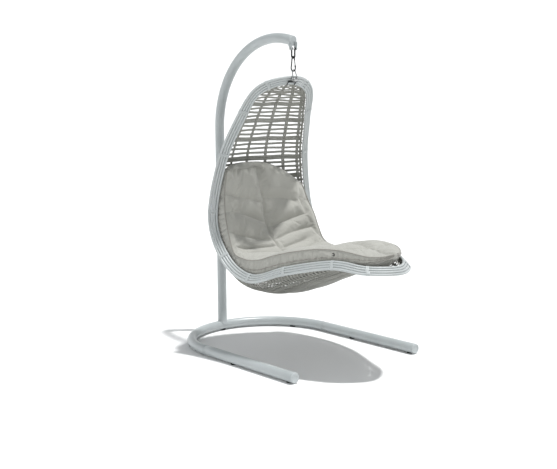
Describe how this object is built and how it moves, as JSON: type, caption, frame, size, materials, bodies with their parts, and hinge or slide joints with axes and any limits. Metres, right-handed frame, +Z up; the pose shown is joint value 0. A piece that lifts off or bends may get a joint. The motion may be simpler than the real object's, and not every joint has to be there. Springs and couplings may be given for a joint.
{
  "type": "hanging egg chair",
  "caption": "Hanging egg chair: a long woven shell with a cane rim and a full-length cushion, hung by a snap hook from an arched tube stand on a U-shaped base.",
  "frame": {"origin": "on the floor, under the middle of the bounding box", "axes": "+Z up, the sitter faces -Y, +X to the sitter's left side of the symmetric plane X = 0"},
  "size_m": [1.0886, 1.764, 2.0492],
  "materials": {
    "stand_paint": "satin light cool grey powder coat",
    "plug_plastic": "matte moulded",
    "pad_rubber": "matte",
    "black_steel": "semi-gloss black",
    "bright_steel": "zinc plated",
    "rim_cane": "satin synthetic cane",
    "wicker": "satin synthetic wicker",
    "cushion_fabric": "woven outdoor polyester"
  },
  "bodies": {
    "stand": {"base_rear_bend": "stand_paint", "left_base_leg": "stand_paint", "right_base_leg": "stand_paint", "left_leg_plug": "plug_plastic", "right_leg_plug": "plug_plastic", "rear_pad": "pad_rubber", "left_bend_pad": "pad_rubber", "right_bend_pad": "pad_rubber", "left_middle_pad": "pad_rubber", "right_middle_pad": "pad_rubber", "left_front_pad": "pad_rubber", "right_front_pad": "pad_rubber", "post": "stand_paint", "arch_arm": "stand_paint", "arm_end_cap": "plug_plastic", "left_lug": "stand_paint", "right_lug": "stand_paint", "lug_pin": "bright_steel", "lug_pin_nut": "bright_steel"},
    "shackle": {"shackle": "black_steel"},
    "hook": {"snap_hook": "black_steel", "gate_pin": "bright_steel"},
    "gate": {"hook_gate": "black_steel"},
    "link": {"chair_link": "bright_steel", "hanger_bolt": "bright_steel", "hanger_bolt_nut": "bright_steel"},
    "chair": {"hanger_barrel": "bright_steel", "clamp_plate": "black_steel", "left_clamp_strap": "black_steel", "right_clamp_strap": "black_steel", "inner_rim_cane": "rim_cane", "second_rim_cane": "rim_cane", "third_rim_cane": "rim_cane", "outer_rim_cane": "rim_cane", "left_binding_3": "rim_cane", "right_binding_3": "rim_cane", "left_binding_8": "rim_cane", "right_binding_8": "rim_cane", "left_binding_13": "rim_cane", "right_binding_13": "rim_cane", "left_binding_18": "rim_cane", "right_binding_18": "rim_cane", "left_binding_23": "rim_cane", "right_binding_23": "rim_cane", "left_binding_28": "rim_cane", "right_binding_28": "rim_cane", "left_binding_33": "rim_cane", "right_binding_33": "rim_cane", "left_binding_38": "rim_cane", "right_binding_38": "rim_cane", "left_binding_43": "rim_cane", "right_binding_43": "rim_cane", "hood_weave": "wicker", "upper_back_weave": "wicker", "lower_back_weave": "wicker", "heel_weave": "wicker", "seat_weave": "wicker", "leg_rest_weave": "wicker", "cushion": "cushion_fabric"}
  },
  "joints": [
    {"name": "swing_fore_aft", "type": "hinge", "parent": "stand", "child": "shackle", "pos_m": [0, 0.0672, 1.946], "axis": [1, 0, 0], "range_deg": [-22, 6]},
    {"name": "swing_side", "type": "hinge", "parent": "shackle", "child": "hook", "pos_m": [0, 0.0672, 1.8975], "axis": [0, 1, 0], "range_deg": [-14, 14]},
    {"name": "gate_open", "type": "hinge", "parent": "hook", "child": "gate", "pos_m": [0, 0.0487, 1.8373], "axis": [1, 0, 0], "range_deg": [-18, 0], "stiffness_Nm_per_rad": 0.05, "springref_deg": 17.19},
    {"name": "turn", "type": "hinge", "parent": "hook", "child": "link", "pos_m": [0, 0.0672, 1.8145], "axis": [0, 0, 1], "range_deg": [-34, 34]},
    {"name": "chair_tilt", "type": "hinge", "parent": "link", "child": "chair", "pos_m": [0, 0.0512, 1.753], "axis": [1, 0, 0], "range_deg": [-6, 4]}
  ]
}
